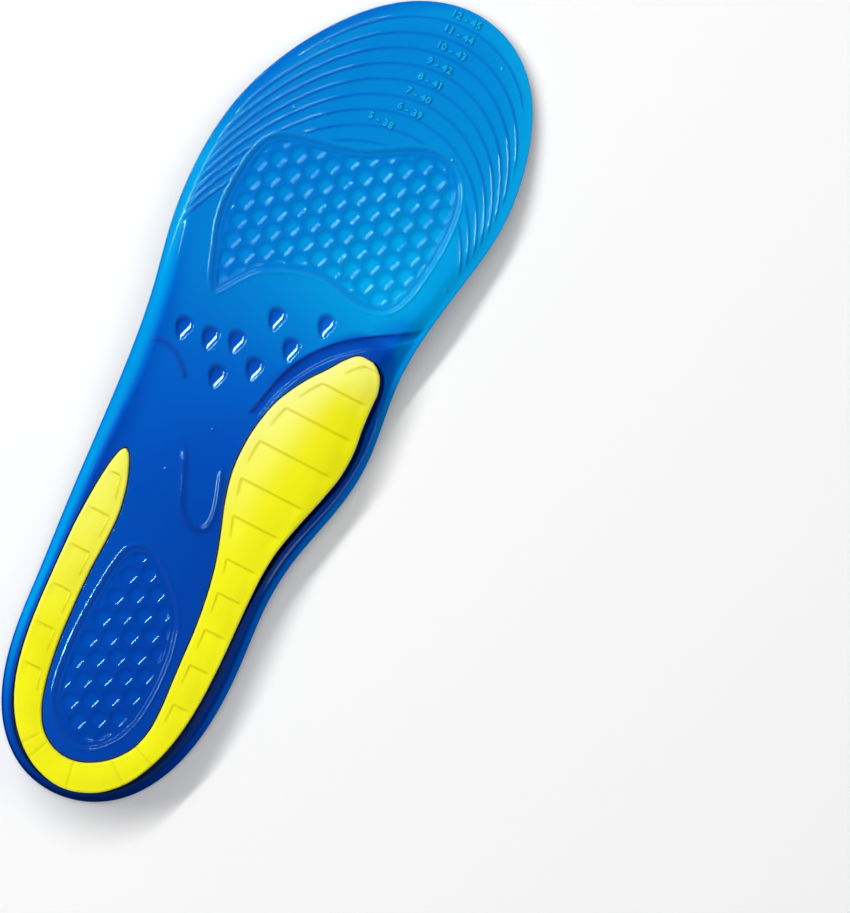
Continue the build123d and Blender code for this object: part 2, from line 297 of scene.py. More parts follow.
# Support of yellow thermoplastic: matching points of its outer and inner edge, from the outer arm's tip
# round the heel to the leaf under the arch
archHeelSupport = {
    "edges": [
        (-27.4, -35.0, -27.4, -35.0), (-28.5, -35.9, -26.0, -36.0), (-29.3, -38.0, -25.0, -37.5),
        (-29.9, -41.1, -23.7, -40.3), (-30.4, -45.0, -22.1, -44.3), (-30.8, -50.1, -20.7, -49.3),
        (-31.1, -56.9, -19.4, -56.5), (-31.2, -65.8, -19.1, -65.7), (-30.8, -75.0, -19.3, -74.8),
        (-30.3, -84.2, -19.1, -83.7), (-29.7, -93.4, -18.6, -92.6), (-28.8, -102.7, -17.9, -101.5),
        (-27.3, -112.0, -16.7, -110.1), (-24.8, -121.4, -15.0, -118.4), (-20.6, -130.5, -12.4, -126.2),
        (-14.1, -138.7, -8.2, -132.6), (-5.2, -144.8, -2.0, -136.4), (5.8, -146.9, 4.7, -137.0),
        (16.4, -143.5, 11.2, -134.7), (24.3, -136.4, 17.1, -130.1), (29.3, -127.2, 21.5, -123.7),
        (32.3, -117.5, 23.5, -116.0), (33.8, -107.9, 23.6, -107.5), (34.4, -98.5, 22.9, -98.7),
        (34.4, -89.3, 22.2, -89.7), (34.1, -80.1, 21.6, -80.8), (33.6, -70.8, 20.6, -72.0),
        (33.2, -61.5, 19.1, -63.1), (33.1, -52.3, 17.0, -54.3), (33.8, -43.3, 14.0, -45.2),
        (35.5, -34.8, 10.6, -35.7), (37.5, -27.0, 8.1, -25.3), (39.5, -19.2, 7.6, -14.9),
        (41.3, -10.5, 8.6, -5.6), (41.6, -1.3, 10.9, 3.2), (40.5, 7.1, 15.7, 12.6),
        (40.0, 12.9, 20.9, 19.9), (39.8, 16.8, 24.6, 25.3), (39.5, 20.7, 28.3, 28.8),
        (37.8, 25.3, 33.1, 29.0), (35.3, 27.9, 33.1, 29.0), (33.2, 29.0, 33.2, 29.0)],
    "columns": 48, "rows": 1000, "edgeCrowding": 0.6,
    "recess": 2.0, "proud": 0.55, "crown": 0.035, "edgeRadius": 0.9, "thickness": 2.6,
    # share of the flank's fall that the support takes up, level beyond this distance from the rim
    "follows": 0.2, "levelFrom": 14.0,
    # The last value is the width of the painted shade line along the window walls and heel lines
    "windowDepth": 0.4, "windowWall": 0.4, "windowRun": 3.0, "creaseShade": 0.32,
    # top, bottom, and margins from the outer and the inner edge
    "outerWindows": [(-44.0, -53.0, 0.6, 2.6), (-58.0, -67.0, 0.6, 2.6), (-72.0, -81.5, 0.6, 2.6),
                     (-86.5, -95.5, 0.6, 2.6), (-100.5, -109.0, 0.6, 2.6), (-114.5, -122.5, 0.6, 2.4)],
    "innerWindows": [(15.0, 6.0, 1.5, 3.6), (2.0, -6.5, 1.5, 3.6), (-12.0, -21.0, 1.5, 3.6),
                     (-26.0, -33.0, 1.5, 3.6), (-38.5, -46.5, 1.4, 3.4), (-52.5, -58.5, 1.2, 3.2),
                     (-64.0, -72.0, 1.0, 3.0), (-77.0, -85.0, 1.0, 3.0), (-90.0, -98.0, 1.0, 3.0),
                     (-104.5, -112.0, 1.0, 3.0), (27.0, 20.5, 2.0, 4.0)],
    "heelLines": [((-9.0, -134.0), (-14.0, -141.0)), ((-5.5, -135.5), (-9.0, -144.0)),
                  ((5.5, -137.0), (7.5, -147.0)), ((17.0, -131.0), (24.0, -136.5)),
                  ((21.5, -123.0), (29.5, -126.0))],
    "heelLineDepth": 0.2, "heelLineWidth": 0.45,
    # Painted sheen: how much paler the yellow is made on the leaf, its top, the outer arm and along the edges
    "paintedSheen": {"leaf": 0.95, "leafTop": 0.75, "arm": 0.45, "edge": 0.35, "edgeWidth": 0.4}}

gelBody = {
    "columns": 270, "rows": 798, "undersideColumns": 54, "undersideRows": 160,
    "thinnest": 0.5, "lip": 1.2, "edgeDrop": 0.35, "edgeRadius": 0.6,
    "moat": 0.55, "wideMoat": 1.7, "moatWall": 0.7,
    "forefootPanel": [
        (-25.5, 25.0), (-32.0, 36.0), (-36.6, 50.0), (-37.0, 68.0), (-32.5, 82.0), (-20.0, 87.2),
        (-2.0, 92.2), (12.0, 100.4), (22.0, 103.0), (32.0, 97.0), (37.0, 82.0), (36.2, 62.0),
        (30.0, 45.5), (20.0, 42.8), (6.0, 45.2), (-8.0, 42.0), (-18.0, 34.5)],
    "heelPanel": [
        (-5.0, -61.0), (3.0, -65.5), (13.0, -75.0), (18.6, -90.0), (19.6, -105.0), (17.0, -121.0),
        (5.0, -132.5), (-7.5, -127.0), (-13.6, -111.0), (-14.8, -92.0), (-13.6, -72.0),
        (-10.5, -63.0)],
    # each panel is sunk inside a bead along its edge, with a fine line a little further in
    "panelDepth": 0.7, "panelBead": 0.35, "beadWidth": 0.5,
    "panelLine": 0.14, "lineWidth": 0.4, "lineInset": 2.3,
    # a cell is a round bowl with one facet, which starts cellFacet from its centre, its slope given by
    # cellRise: how steep at first, and how fast it levels off
    "cellDepth": 0.85, "cellRadius": 3.2, "cellFacet": 2.5, "cellRise": (0.5, 0.09), "cellMargin": 2.6,
    "forefootCells": {"centre": (18.0, 96.0), "row": (6.373, -2.51), "next": (5.36, 4.265)},
    "heelCells": {"centre": (4.5, -74.0), "row": (5.3, -4.8), "next": (-6.0, -3.6)},
    "dents": [(-29.0, 10.0), (-19.5, 11.0), (-11.0, 14.0), (-1.5, 8.5), (-11.5, 0.5), (6.5, 20.0),
              (-2.5, 27.0), (13.5, 32.5)],
    "dentDepth": 1.7, "dentLength": 9.8, "dentWidth": 6.4, "dentTilt": 100.0, "dentTaper": 0.0875,
    "dentFacet": 3.0, "dentRise": (0.44, 0.022), "facetTurn": (-0.953, 0.303),
    "archBandOuter": [(44.0, 47.0), (36.0, 41.5), (29.0, 37.0), (21.0, 31.0), (14.0, 23.5), (9.0, 15.0),
                      (6.0, 5.0), (3.8, -5.5)],
    "archBandInner": [(8.0, -5.0), (9.5, 3.0), (12.5, 11.0), (17.0, 19.0), (24.0, 27.0), (31.0, 32.5),
                      (37.0, 37.0), (44.0, 43.0)],
    "archBandDepth": 0.9, "archBandBead": 0.35, "archBandWidth": 0.6,
    "ribs": [
        {"points": [(-38.0, 1.8), (-33.0, 3.0), (-28.0, 1.5), (-23.5, -2.0), (-20.0, -5.5)],
         "height": 0.95, "width": 0.9},
        {"points": [(-11.5, -23.0), (-8.0, -30.0), (-4.5, -38.0), (-1.5, -44.0), (2.0, -47.5),
                    (6.0, -48.5), (9.0, -46.5), (9.5, -42.0), (7.0, -33.0), (3.5, -23.0)],
         "height": 0.85, "width": 1.1},
        {"points": [(38.0, 28.0), (42.5, 15.0), (44.6, -3.0), (42.6, -20.0), (38.6, -36.0), (36.2, -52.0),
                    (36.6, -72.0), (37.6, -98.0), (35.5, -116.0), (31.5, -128.0)],
         "height": 1.2, "width": 0.85}],
    "ribShine": 0.6, "ribShineFrom": -60.0,
    # small nibs left by trapped air
    "nibs": [(26.5, 137.5), (-30.0, 118.5), (-30.0, 93.3), (-12.5, -35.0), (-4.3, -16.0), (12.0, 51.0),
             (14.5, 49.5), (26.0, 102.0), (-38.0, -20.0), (44.0, 62.0), (47.0, 98.0), (-16.0, 8.0)],
    "nibHeight": 0.5, "nibWidth": 0.55,
    "trimStep": 5.9, "trimCount": 9, "trimHeight": 0.42, "trimWidth": 0.46, "trimMiddle": 9.0,
    "trimOuterEnds": [91.0, 79.5, 70.0, 62.0, 51.0, 47.0, 42.0, 39.0, 37.0],
    "trimInnerEnds": [96.0, 88.5, 83.0, 79.0, 75.0, 70.0, 66.0, 63.0, 60.0]}

# How deep the blue looks, in millimetres of gel: the gel's own thickness, with more added by each detail and
# on the flanks.
# Much of what is added is painted shade: near black in the groove round the support, darker in the dents, in
# the groove above the leaf and in the sunk panels, and darker along the ribs, partly for their thicker gel.
# The flanks carry painted
# light and shade: lighter on the outer side, which faces the lamp, darker on the inner side and at the heel
# back, which face away. A darker line runs along the edge, painted shade at the heel back. The figures are
# painted lighter for their glints. The cells are lighter, where the gel is thinner, a band round the leaf's
# top is darker, and the shift rows darken the inner half at the heel and lighten it at the forefoot.
# Gloss is the strength of the wet coat, lower in the cells and on the steep flanks
gelTint = {
    "gloss": 0.9, "cellGloss": 0.55, "flankGloss": 0.95,
    "ribs": 1.2, "trim": 1.3, "arch": 2.6, "dents": 1.8, "band": 3.6, "bandFade": 2.2, "panel": 0.65,
    "moat": 12.0, "wideMoat": 0.3, "flankMoat": 6.5, "forefootCells": -1.0, "heelCells": -1.2,
    # Flank and rim values: painted light on the outer side, which faces the lamp, painted shade on the inner
    # side and at the heel back
    "outerTints": [4.0, 1.0, 1.2, 1.4, 0.9, 3.0], "innerTints": [12.0, 10.0, 9.6, 6.0, 1.2, 1.0],
    "outerRimTints": [12.0, 3.0, 2.8, 2.6, 2.2, 3.4], "innerRimTints": [12.0, 3.6, 3.2, 2.8, 1.2, 1.0],
    "rimStart": (0.3, 1.5), "rimFade": (0.5, 1.2),
    "shiftRows": [-150.0, -100.0, -50.0, 0.0, 50.0, 100.0, 150.0],
    "shiftOuter": [0.0, -0.3, 0.0, 0.1, 0.2, 0.1, 0.0],
    "shiftInner": [3.5, 3.4, 3.2, 1.2, -1.9, -0.7, -0.4],
    "underside": 1.5, "numerals": 0.5, "deepest": 16.0}

supportEdges = np.array(archHeelSupport["edges"])
finer = np.linspace(0, len(supportEdges) - 1, 1600)
outerLine, innerLine = (np.array([cubicThrough(supportEdges[:, axis], finer) for axis in pair]).T
                        for pair in ((0, 1), (2, 3)))
supportOutline = np.vstack([outerLine, innerLine[-2:0:-1]])[::2]


def supportTop(x, y, inset, edge, width):  # proud of the land, crowned and rounded at its edges
    corner = 1.0 - np.clip(edge / archHeelSupport["edgeRadius"], 0.0, 1.0)
    rounding = 1.0 - np.sqrt(1.0 - corner ** 2)
    crown = archHeelSupport["crown"] * width * ease(edge / (0.4 * width + 0.5))
    level = gelLand(x, y, np.maximum(inset, archHeelSupport["levelFrom"]))
    top = level + (gelLand(x, y, inset) - level) * archHeelSupport["follows"]
    return top + archHeelSupport["proud"] + crown - archHeelSupport["edgeRadius"] * rounding


def cellBowls(x, y, cells, inside):  # round bowls on a lattice, pressed into a panel
    row, step, centre = (np.array(cells[key]) for key in ("row", "next", "centre"))
    lattice = np.array([row, step]).T
    place = np.linalg.inv(lattice) @ np.array([x - centre[0], y - centre[1]])
    fx, fy = gelBody["facetTurn"]
    steep, level = gelBody["cellRise"]
    bowl = np.zeros(x.shape)
    for i in (0, 1):
        for j in (0, 1):
            cx, cy = centre[:, None] + lattice @ (np.floor(place) + np.array([[i], [j]]))
            dish = 1.0 - np.hypot(x - cx, y - cy) ** 2 / gelBody["cellRadius"] ** 2
            away = np.maximum((x - cx) * fx + (y - cy) * fy + gelBody["cellFacet"], 0.0)
            facet = (steep * away - level * away ** 2) / gelBody["cellDepth"]
            bowl = np.maximum(bowl, np.minimum(dish, facet))
    return bowl * ease((inside - gelBody["cellMargin"]) / 1.2)


def dentBowls(x, y):  # drop-shaped dents, drawn out at the heel end, with one wall leaning back
    bowls = np.zeros(x.shape)
    tilt = math.radians(gelBody["dentTilt"])
    fx, fy = gelBody["facetTurn"]
    steep, level = gelBody["dentRise"]
    for cx, cy in gelBody["dents"]:
        along = (x - cx) * math.cos(tilt) + (y - cy) * math.sin(tilt)
        across = (y - cy) * math.cos(tilt) - (x - cx) * math.sin(tilt)
        taper = 1.0 - gelBody["dentTaper"] * along
        shape = np.hypot(along / gelBody["dentLength"], across / gelBody["dentWidth"] * taper) * 2.0
        away = np.clip((x - cx) * fx + (y - cy) * fy + gelBody["dentFacet"], 0.0, 2.0 * gelBody["dentFacet"])
        facet = steep * away - level * away ** 2
        bowls = np.maximum(bowls, np.minimum(gelBody["dentDepth"] * ease((1.0 - shape) / 0.6), facet))
    return bowls


def trimRibs(x, y, inset):  # ribs for cutting the toe to size: the outline again, one size shorter each
    rise, middle = np.zeros(x.shape), gelBody["trimMiddle"]
    toe = np.flatnonzero(y > 30.0)
    px, py = x[toe], y[toe]
    for k in range(gelBody["trimCount"]):
        shift = gelBody["trimStep"] * (k + 1)
        gap = depthInside(outline - np.array([0.0, shift]), px, py)
        ends = np.where(px < middle, gelBody["trimOuterEnds"][k], gelBody["trimInnerEnds"][k])
        fade = ease((py - ends) / 4.0) * ease((inset[toe] - 2.8) / 1.2)
        fade *= 0.6 + 0.4 * ease((np.abs(px - middle) - 14.0) / 16.0)  # lower round the toe
        rise[toe] = np.maximum(rise[toe], gelBody["trimHeight"] * bump(gap, gelBody["trimWidth"]) * fade)
    return rise


def gelSurface(x, y, inset):  # heights of the gel side, how deep its blue looks, and its gloss
    fromSupport = depthInside(supportOutline, x, y)
    outerGap, innerGap = (nearLine(line[::4], x, y, 8.0)[0] for line in (outerLine, innerLine))
    # the groove round the support is wide along the arch, on the side of the rim
    wide = ease((x - 12.0) / 8.0) * ease((32.0 - y) / 8.0) * ease((y + 80.0) / 40.0) * (outerGap < innerGap)
    moat = gelBody["moat"] + (gelBody["wideMoat"] - gelBody["moat"]) * wide
    moat = ease((fromSupport + moat) / gelBody["moatWall"])
    top = gelLand(x, y, inset)
    land = top - gelUnderside(x, y, inset)
    corner = np.clip(1.0 - inset / gelBody["edgeRadius"], 0.0, 1.0)
    top -= gelBody["edgeDrop"] * (1.0 - np.sqrt(1.0 - corner ** 2)) + archHeelSupport["recess"] * moat
    # Painted shade: the groove round the support is made near black, as if in the shadow of the raised
    # support
    tint = gelTint["moat"] * moat * (1.0 - gelTint["wideMoat"] * wide)
    celled, plain = np.zeros(x.shape), np.ones(x.shape)
    for points, cells in (("forefootPanel", "forefootCells"), ("heelPanel", "heelCells")):
        inside = depthInside(smoothLine(gelBody[points], 1.0, closed=True), x, y)
        bowls = cellBowls(x, y, gelBody[cells], inside)
        panel = ease((inside - 0.6) / 1.2)
        top -= gelBody["panelDepth"] * panel + gelBody["cellDepth"] * bowls
        top += gelBody["panelBead"] * bump(inside, gelBody["beadWidth"])
        top += gelBody["panelLine"] * bump(inside - gelBody["lineInset"], gelBody["lineWidth"])
        # Painted shade: each sunk panel is made darker; its bowls are made lighter, where the gel is thinner
        tint += gelTint["panel"] * panel + gelTint[cells] * bowls
        celled = np.maximum(celled, bowls > 0.0)
        plain *= 1.0 - ease((inside + 1.4) / 1.0)
    dents = dentBowls(x, y)
    band = smoothLine(gelBody["archBandOuter"], 1.0)
    lower = smoothLine(gelBody["archBandInner"], 1.0)
    groove = ease((depthInside(np.vstack([band, lower]), x, y) + 0.3) / 1.3) * (fromSupport < 0.0)
    top += gelBody["archBandBead"] * ridge(band, x, y, gelBody["archBandWidth"])
    top -= dents + gelBody["archBandDepth"] * groove
    bandGap = nearLine(band, x, y, 6.0)[0]
    # Painted shade: the dents and the groove above the leaf are made darker, though the gel is thinner there
    tint += gelTint["dents"] * dents + gelTint["band"] * groove * bump(bandGap, gelTint["bandFade"])
    tint += gelTint["arch"] * ease((fromSupport + 9.0) / 4.0) * ease((y - 4.0) / 10.0) * (1.0 - moat)
    ribs = np.zeros(x.shape)
    for rib in gelBody["ribs"]:
        shape = ridge(smoothLine(rib["points"], 1.0), x, y, rib["width"])
        top += rib["height"] * shape
        ribs = np.maximum(ribs, shape)
    for nx, ny in gelBody["nibs"]:
        top += gelBody["nibHeight"] * bump(np.hypot(x - nx, y - ny), gelBody["nibWidth"])
    # Darker along the ribs: partly their thicker gel, partly painted shade
    tint += gelTint["ribs"] * ribs
    # A tone shift across the foot: darker on the inner half at the heel, lighter on the inner half at the
    # forefoot
    side = ease(0.5 + x / insole["width"])
    tint += (np.interp(y, gelTint["shiftRows"], gelTint["shiftOuter"]) * (1.0 - side)
             + np.interp(y, gelTint["shiftRows"], gelTint["shiftInner"]) * side)
    flank, mix = mixSides(insole, "Flanks", x, y), ease(0.5 + insole["sideMix"] * x / insole["width"])
    slope = 1.0 - ease((inset - gelBody["lip"]) / (flank + 1.0 - gelBody["lip"]))
    # Painted light and shade on the flanks: lighter on the outer side, which faces the lamp, darker on the
    # inner side and at the heel back, which face away, and darker still below the groove round the support
    flankLightShade = mixSides(gelTint, "Tints", x, y) + gelTint["flankMoat"] * moat
    tint = (land + tint) * (1.0 - slope) + flankLightShade * slope
    # A darker line along the very edge, near black at the heel back, where it is painted shade
    start, fade = (outer + (inner - outer) * mix
                   for outer, inner in (gelTint["rimStart"], gelTint["rimFade"]))
    rim = 1.0 - ease((inset - start) / fade)
    tint = tint * (1.0 - rim) + mixSides(gelTint, "RimTints", x, y) * rim
    fall = (mixSides(insole, "Rims", x, y) - insole["rimThickness"]) / flank
    dull = ease(slope / 0.08) * ease((fall - 0.12) / 0.3)
    gloss = gelTint["gloss"] * (1.0 - gelTint["flankGloss"] * dull) * (1.0 - gelTint["cellGloss"] * celled)
    trim = trimRibs(x, y, inset) * plain
    crests = ease((ribs - gelBody["ribShine"]) / 0.3) * ease((y - gelBody["ribShineFrom"]) / 12.0)
    gloss = np.maximum(gloss, gelTint["gloss"] * np.maximum(crests, trim / gelBody["trimHeight"]))
    # The trim ribs are made darker along their lines too: partly thicker gel, partly painted shade
    return top + trim, tint + gelTint["trim"] * trim / gelBody["trimHeight"], gloss


def gelUnderside(x, y, inset):
    return footSide(x, y, inset) + insole["coverThickness"] + insole["foamThickness"]


# Grids of the two sheets, and the sizes of their patterns; the stitch columns lie turned in the cut cover
topCover = {
    "columns": 56, "rows": 170, "wale": 1.8, "course": 1.4, "fleck": 1.1, "patch": 45.0, "knitTurn": 0.9}
foamBacking = {"columns": 56, "rows": 170, "cells": 0.6}
patterns = {"flowMarks": 30.0, "ripples": 1.5, "drift": 22.0, "grain": 0.7}


def perMetre(size):  # noise scale for a feature of this many millimetres
    return 1.0 / (size * millimetre)


# Thermoplastic gel, injection moulded: clear blue through its depth, so that thin places are lighter, under a
# wet gloss.
# The depth value that picks its colour also holds painted shade and painted light, added on top of the gel's
# thickness
gelMaterial, gelTree, gelShader = newMaterial(
    "blueMouldedGel", Roughness=0.3, IOR=1.45, Specular_IOR_Level=0.0, Coat_Roughness=0.04, Coat_IOR=1.5)
depthShadeValue = addNode(gelTree, "ShaderNodeAttribute", attribute_name="gelDepthWithPaintedLight")
depthShadeScale = addNode(gelTree, "ShaderNodeMath", {0: depthShadeValue.outputs["Fac"], 1: 1.0 / gelTint["deepest"]},
                     operation="MULTIPLY")
depthShadeRamp = addNode(gelTree, "ShaderNodeValToRGB", {"Fac": depthShadeScale.outputs[0]})
# The darkest stops serve the thick heel walls, and also the painted shade in the groove round the support and
# at the heel back
depthShadeColours = [(0.0, "#14B6EC"), (0.8, "#00A4E4"), (1.5, "#0090D8"), (2.2, "#007ED0"), (3.5, "#0062C6"),
                (5.0, "#004EB8"), (7.0, "#0040A6"), (10.0, "#003286"), (13.0, "#011C50"), (16.0, "#010C24")]
fillRamp(depthShadeRamp, [(deep / gelTint["deepest"], code) for deep, code in depthShadeColours])
glossValue = addNode(gelTree, "ShaderNodeAttribute", attribute_name="gelGloss")
gelTree.links.new(glossValue.outputs["Fac"], gelShader.inputs["Coat Weight"])
gelPlace = addNode(gelTree, "ShaderNodeTexCoord")
# Flow marks of the melt, about 30 mm long, and a fine skin of 1.5 mm ripples
flow = addNode(gelTree, "ShaderNodeTexNoise", {
    "Vector": gelPlace.outputs["Object"], "Scale": perMetre(patterns["flowMarks"]), "Detail": 3.0})
flowTint = addNode(gelTree, "ShaderNodeMix", {"Factor": flow.outputs["Fac"]}, data_type="RGBA",
                   blend_type="MIX")
flowTint.inputs[6].default_value = (0.9, 0.92, 0.94, 1.0)
flowTint.inputs[7].default_value = (1.08, 1.06, 1.05, 1.0)
flowColour = addNode(gelTree, "ShaderNodeMix", {"Factor": 1.0}, data_type="RGBA", blend_type="MULTIPLY")
gelTree.links.new(depthShadeRamp.outputs["Color"], flowColour.inputs[6])
gelTree.links.new(flowTint.outputs[2], flowColour.inputs[7])
gelTree.links.new(flowColour.outputs[2], gelShader.inputs["Base Color"])
skin = addNode(gelTree, "ShaderNodeTexNoise", {
    "Vector": gelPlace.outputs["Object"], "Scale": perMetre(patterns["ripples"]), "Detail": 2.0})
skinBump = addNode(gelTree, "ShaderNodeBump", {
    "Height": skin.outputs["Fac"], "Strength": 0.05, "Distance": 0.0001})
gelTree.links.new(skinBump.outputs["Normal"], gelShader.inputs["Normal"])

# Yellow thermoplastic rubber, injection moulded in a satin tool: even colour, soft broad shine. A painted
# sheen makes it paler along its edges, on the leaf's inner half and top and along the outer arm, more so
# towards the toe. The tool's 0.1 mm grain is drawn at 0.7 mm so that it shows
supportMaterial, supportTree, supportShader = newMaterial(
    "yellowMouldedRubber", Roughness=0.4, IOR=1.5, Specular_IOR_Level=0.1, Coat_Weight=0.25,
    Coat_Roughness=0.28)
supportPlace = addNode(supportTree, "ShaderNodeTexCoord")
supportNoise = addNode(supportTree, "ShaderNodeTexNoise", {
    "Vector": supportPlace.outputs["Object"], "Scale": perMetre(patterns["drift"]), "Detail": 4.0})
supportRamp = addNode(supportTree, "ShaderNodeValToRGB", {"Fac": supportNoise.outputs["Fac"]})
fillRamp(supportRamp, [(0.3, "#ECE700"), (0.7, "#F2F100")])
paintedSheenValue = addNode(supportTree, "ShaderNodeAttribute", attribute_name="paintedSheen")
# Painted sheen: a pale yellow mixed in where the sheen value is high
supportSheen = addNode(supportTree, "ShaderNodeMix", {"Factor": paintedSheenValue.outputs["Fac"]},
                      data_type="RGBA")
supportTree.links.new(supportRamp.outputs["Color"], supportSheen.inputs[6])
supportSheen.inputs[7].default_value = colour("#F6F48C")
# Painted shade: a darker yellow along the windows' top and inner walls and along the heel lines
creaseShadeValue = addNode(supportTree, "ShaderNodeAttribute", attribute_name="creaseShade")
supportCreaseShade = addNode(supportTree, "ShaderNodeMix", {"Factor": creaseShadeValue.outputs["Fac"]},
                        data_type="RGBA")
supportTree.links.new(supportSheen.outputs[2], supportCreaseShade.inputs[6])
supportCreaseShade.inputs[7].default_value = colour("#DACF00")
supportTree.links.new(supportCreaseShade.outputs[2], supportShader.inputs["Base Color"])
supportGrain = addNode(supportTree, "ShaderNodeTexNoise", {
    "Vector": supportPlace.outputs["Object"], "Scale": perMetre(patterns["grain"]), "Detail": 2.0})
supportBump = addNode(supportTree, "ShaderNodeBump", {
    "Height": supportGrain.outputs["Fac"], "Strength": 0.15, "Distance": 0.0001})
supportTree.links.new(supportBump.outputs["Normal"], supportShader.inputs["Normal"])

# Open-cell polyurethane foam, cut with the insole: pale, matt, its 0.4 mm cells drawn at 0.6 mm to show
foamMaterial, foamTree, foamShader = newMaterial("paleCutFoam", Roughness=0.95)
foamPlace = addNode(foamTree, "ShaderNodeTexCoord")
foamCells = addNode(foamTree, "ShaderNodeTexVoronoi", {
    "Vector": foamPlace.outputs["Object"], "Scale": perMetre(foamBacking["cells"])})
foamRamp = addNode(foamTree, "ShaderNodeValToRGB", {"Fac": foamCells.outputs["Distance"]})
fillRamp(foamRamp, [(0.0, "#B9C6CC"), (0.5, "#DFE6E8")])
foamTree.links.new(foamRamp.outputs["Color"], foamShader.inputs["Base Color"])
foamBump = addNode(foamTree, "ShaderNodeBump", {
    "Height": foamCells.outputs["Distance"], "Strength": 0.5, "Distance": 0.0002})
foamTree.links.new(foamBump.outputs["Normal"], foamShader.inputs["Normal"])

# Polyester jersey, warp knitted and laminated: blue-grey, soft sheen of brushed fibre.
# Its stitches, 0.9 by 0.7 mm, are drawn at twice that size so that they show
coverMaterial, coverTree, coverShader = newMaterial(
    "blueGreyKnit", Roughness=0.88, Sheen_Weight=0.35, Sheen_Roughness=0.5,
    Sheen_Tint=(0.75, 0.85, 0.95, 1.0))
coverPlace = addNode(coverTree, "ShaderNodeTexCoord")
stitchTurn = addNode(coverTree, "ShaderNodeMapping", {
    "Vector": coverPlace.outputs["Object"], "Rotation": (0.0, 0.0, topCover["knitTurn"])})
wales, courses = (addNode(coverTree, "ShaderNodeTexWave", {
    "Vector": stitchTurn.outputs["Vector"], "Scale": 0.1 * math.pi * perMetre(topCover[spacing]),
    "Distortion": 1.5, "Detail": 2.0, "Detail Scale": 2.0}, wave_type="BANDS", bands_direction=axis)
    for spacing, axis in (("wale", "X"), ("course", "Y")))
stitch = addNode(coverTree, "ShaderNodeMath", {0: wales.outputs["Fac"], 1: courses.outputs["Fac"]},
                 operation="MULTIPLY")
fleck, patch = (addNode(coverTree, "ShaderNodeTexNoise", {
    "Vector": coverPlace.outputs["Object"], "Scale": perMetre(topCover[size]), "Detail": 3.0})
    for size in ("fleck", "patch"))
yarn = addNode(coverTree, "ShaderNodeMath", {0: stitch.outputs[0], 1: fleck.outputs["Fac"]}, operation="ADD")
yarnRamp = addNode(coverTree, "ShaderNodeValToRGB", {"Fac": yarn.outputs[0]})
fillRamp(yarnRamp, [(0.25, "#44789F"), (0.6, "#5B97C2"), (1.0, "#74ADD2")])
patchRamp = addNode(coverTree, "ShaderNodeValToRGB", {"Fac": patch.outputs["Fac"]})
fillRamp(patchRamp, [(0.35, "#E4F0EC"), (0.65, "#FFFFFF")])
coverColour = addNode(coverTree, "ShaderNodeMix", {"Factor": 1.0}, data_type="RGBA", blend_type="MULTIPLY")
coverTree.links.new(yarnRamp.outputs["Color"], coverColour.inputs[6])
coverTree.links.new(patchRamp.outputs["Color"], coverColour.inputs[7])
coverTree.links.new(coverColour.outputs[2], coverShader.inputs["Base Color"])
coverBump = addNode(coverTree, "ShaderNodeBump", {
    "Height": stitch.outputs[0], "Strength": 0.6, "Distance": 0.0002})
coverTree.links.new(coverBump.outputs["Normal"], coverShader.inputs["Normal"])
print("materials ready")

coverPiece, x, y, inset = footGrid("topCover", topCover["columns"], topCover["rows"])
writePoints(coverPiece, np.array([x, y, footSide(x, y, inset)]).T * millimetre)
closeUp(coverPiece, insole["coverThickness"] * millimetre)
smoothShade(coverPiece)
finishPiece(coverPiece, coverMaterial, "top_cover")
print("cover ready")

foamPiece, x, y, inset = footGrid("foamBacking", foamBacking["columns"], foamBacking["rows"])
writePoints(foamPiece, np.array([x, y, footSide(x, y, inset) + insole["coverThickness"]]).T * millimetre)
closeUp(foamPiece, insole["foamThickness"] * millimetre)
smoothShade(foamPiece)
finishPiece(foamPiece, foamMaterial, "foam_backing")
print("foam ready")

lowerPiece, x, y, inset = footGrid("gelUnderside", gelBody["undersideColumns"], gelBody["undersideRows"])
writePoints(lowerPiece, np.array([x, y, gelUnderside(x, y, inset)]).T * millimetre)
setAttribute(lowerPiece, "gelDepthWithPaintedLight", np.full(len(x), gelTint["underside"]))
setAttribute(lowerPiece, "gelGloss", np.full(len(x), gelTint["gloss"]))
gelPiece, x, y, inset = footGrid("gelBody", gelBody["columns"], gelBody["rows"])
underside = gelUnderside(x, y, inset)
heights, tint, gloss = gelSurface(x, y, inset)
heights = np.maximum(heights, underside + gelBody["thinnest"])
writePoints(gelPiece, np.array([x, y, heights]).T * millimetre)
setAttribute(gelPiece, "gelDepthWithPaintedLight", tint)
setAttribute(gelPiece, "gelGloss", gloss)
lowerPiece.select_set(True)
gelPiece.select_set(True)
bpy.context.view_layer.objects.active = gelPiece
bpy.ops.object.join()
bpy.ops.object.mode_set(mode="EDIT")
bpy.ops.mesh.select_mode(type="EDGE")
bpy.ops.mesh.select_all(action="DESELECT")
bpy.ops.mesh.select_non_manifold(extend=False)
bpy.ops.mesh.bridge_edge_loops()
bpy.ops.mesh.select_all(action="SELECT")
bpy.ops.mesh.remove_doubles(threshold=insole["mergeGap"] * millimetre)
bpy.ops.mesh.normals_make_consistent(inside=False)
bpy.ops.object.mode_set(mode="OBJECT")
smoothShade(gelPiece)
finishPiece(gelPiece, gelMaterial, "gel_body")
print("gel ready", len(gelPiece.data.polygons))

